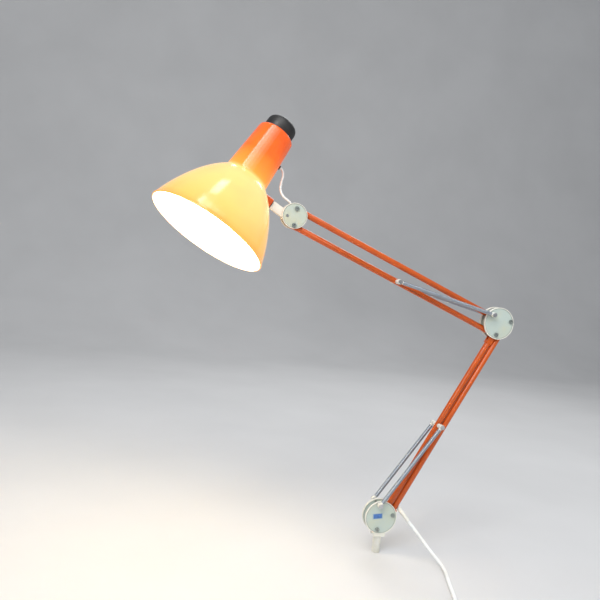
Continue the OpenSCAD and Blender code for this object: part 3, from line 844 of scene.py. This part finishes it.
def make_swivel_boss():
    """Boss on the dome that the bracket's bolt goes through."""
    turn = SHADE_FRAME @ Matrix.Translation((0, 0, SWIVEL_Z)) @ Matrix.Rotation(math.radians(-90), 4, "Y")
    profile = [
        (BOSS_BORE_R, BOSS_IN), (BOSS_R, BOSS_IN), (BOSS_R, BOSS_OUT - 1.2 * MM),
        (BOSS_R - 0.35 * MM, BOSS_OUT - 0.35 * MM), (BOSS_R - 1.2 * MM, BOSS_OUT), (BOSS_BORE_R, BOSS_OUT),
    ]
    obj = lathe("swivel_boss", profile, turn, 48)
    sharpen(obj, 40)
    paint(obj, BOSS)
    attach(obj, "shade")


def make_grommet():
    """Ring that the thin wire passes through into the neck."""
    at = SHADE_FRAME @ GROMMET_AT
    place = frame_along(at, at - STEM)
    ring = []
    for x, y in circle_section(1, 16):
        ring.append((2.5 * MM + 0.8 * MM * x, 0.6 * MM + 0.9 * MM * y))
    obj = lathe("wire_grommet", ring, place, 32)
    paint(obj, BLACK)
    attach(obj, "shade")


def make_bulb_light():
    data = bpy.data.lights.new("bulb_light", "POINT")
    data.energy = 2.2
    data.color = (1.0, 0.8, 0.52)
    data.shadow_soft_size = 28 * MM
    light = bpy.data.objects.new("bulb_light", data)
    bpy.context.scene.collection.objects.link(light)
    light.location = SHADE_FRAME @ BULB_CENTRE
    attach(light, "shade")
    nodes["bulb_glass"].visible_shadow = False


# ---------- floor and studio light ----------


def make_floor():
    """Pale floor that curves up into a backdrop far behind."""
    width, front, back, rise, bend = 8.0, -3.0, 3.2, 5.0, 1.2
    line = [(front, 0.0), (back - bend, 0.0)]
    line += [
        (back - bend + bend * math.sin(math.radians(a)), bend - bend * math.cos(math.radians(a)))
        for a in range(5, 91, 5)
    ]
    line.append((back, rise))
    verts = [Vector((x, y, z)) for y, z in line for x in (-width / 2, width / 2)]
    faces = [(2 * i, 2 * i + 1, 2 * i + 3, 2 * i + 2) for i in range(len(line) - 1)]
    floor = add_mesh("floor", verts, faces)
    s = Shader("floor_pale", (0.62, 0.62, 0.62), 0.8)
    s.link(s.ramp(s.noise(3.0, 3.0), (0.3, 0.6), (0.7, 0.64)), s.main, "Base Color")
    paint(floor, s.material)


def area_light(name, at, towards, size, energy, color=(1, 1, 1)):
    data = bpy.data.lights.new(name, "AREA")
    data.shape = "RECTANGLE"
    data.size, data.size_y = size
    data.energy = energy
    data.color = color
    light = bpy.data.objects.new(name, data)
    bpy.context.scene.collection.objects.link(light)
    light.location = at
    light.rotation_mode = "QUATERNION"
    light.rotation_quaternion = (Vector(towards) - Vector(at)).to_track_quat("-Z", "Y")
    return light


def shade_mirror(place, turn):
    """Where the camera looks by way of a mirror on the shade's front, turned away from the camera."""
    view = (CAMERA_AT - place).normalized()
    front = (view - view.dot(SHADE_UP) * SHADE_UP).normalized()
    normal = math.cos(turn) * front + math.sin(turn) * SHADE_UP.cross(front)
    return 2 * normal.dot(view) * normal - view


def neck_strips():
    """Tall softboxes side by side, brightest first, which the neck mirrors as a fading highlight."""
    at = SHADE_FRAME @ Vector((0, 0, 150 * MM))
    distance, height = 2.0, 1.8
    for turn, width, energy in ((-25, 0.24, 9.0), (-18, 0.56, 11.0), (-9, 0.56, 6.0), (0, 0.56, 2.5)):
        mirror = shade_mirror(at, math.radians(turn))
        light = area_light("strip_%d" % abs(turn), at + distance * mirror, at, (width, height), energy)
        aim = light.rotation_quaternion.copy()
        up = aim.inverted() @ SHADE_UP
        light.rotation_quaternion = aim @ Quaternion((0, 0, 1), math.atan2(-up.x, up.y))


def make_studio():
    make_floor()
    world = bpy.data.worlds.new("studio")
    bpy.context.scene.world = world
    world.use_nodes = True
    back = world.node_tree.nodes["Background"]
    back.inputs["Color"].default_value = (0.92, 0.95, 1.0, 1)
    back.inputs["Strength"].default_value = 0.4
    area_light("key", (-1.5, -1.7, 1.9), (0, 0, 0.35), (0.9, 1.2), 22)
    fill = area_light("fill", (1.6, -1.2, 1.2), (0, 0, 0.3), (1.4, 1.4), 10, (0.9, 0.95, 1.0))
    fill.visible_glossy = False
    area_light("back", (0.6, 1.5, 1.8), (0, 0, 0.4), (1.2, 0.8), 14)
    area_light("top", (0.02, -0.17, 2.65), (-0.3, -0.05, 0.5), (0.6, 0.42), 4.5)
    neck_strips()
    bpy.context.scene.view_settings.view_transform = "Standard"


# ---------- the model ----------

plug = make_plug()
relief = make_relief()
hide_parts("cord_relief")
make_cord(PVC)
for node, material in CAD_LOOKS.items():
    dress(node, material)
make_springs()
make_head_wire()
make_shade()
make_swivel_boss()
make_grommet()
make_bulb_light()
make_studio()
